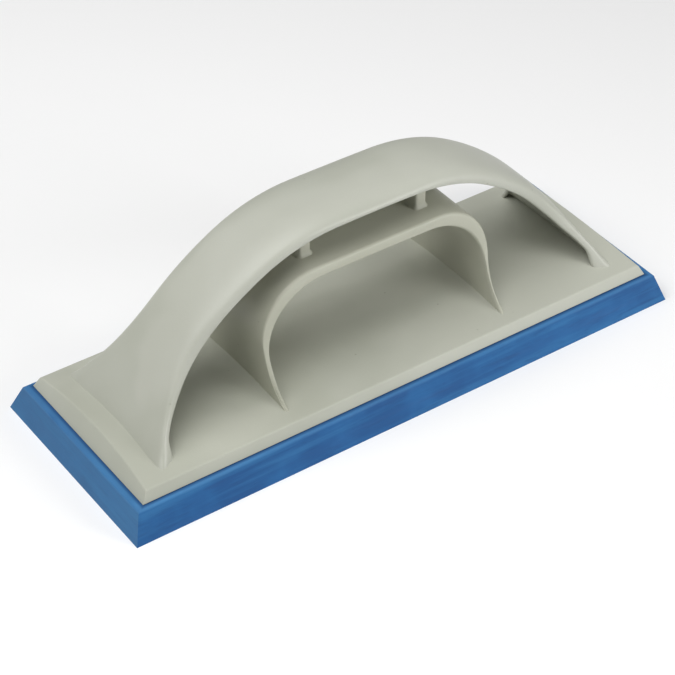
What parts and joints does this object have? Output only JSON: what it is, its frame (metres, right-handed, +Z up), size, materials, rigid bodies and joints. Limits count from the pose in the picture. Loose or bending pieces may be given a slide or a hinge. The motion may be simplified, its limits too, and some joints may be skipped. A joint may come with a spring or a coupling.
{
  "type": "grout float",
  "caption": "Hand float for pressing grout into tile joints: flat rubber pad under a cambered plate, with an arched open grip over a finger bridge.",
  "frame": {"origin": "middle of the pad's flat underside, the face that rests on the tiles", "axes": "+X along the float's length, +Y across it, +Z up from the pad through the grip"},
  "size_m": [0.245, 0.09, 0.0819],
  "materials": {
    "pad_rubber": "dense blue rubber with fine cut marks along its sides",
    "adhesive": "dark cured glue",
    "grey_plastic": "warm light grey, matt, moulded",
    "grip_plastic": "warm light grey, satin where the hand goes",
    "bridge_plastic": "warm light grey, matt, moulded"
  },
  "bodies": {
    "root": {"rubber_pad": "pad_rubber", "adhesive_layer": "adhesive", "base_plate": "grey_plastic", "grip_shell": "grip_plastic", "finger_bridge": "bridge_plastic"}
  },
  "joints": []
}
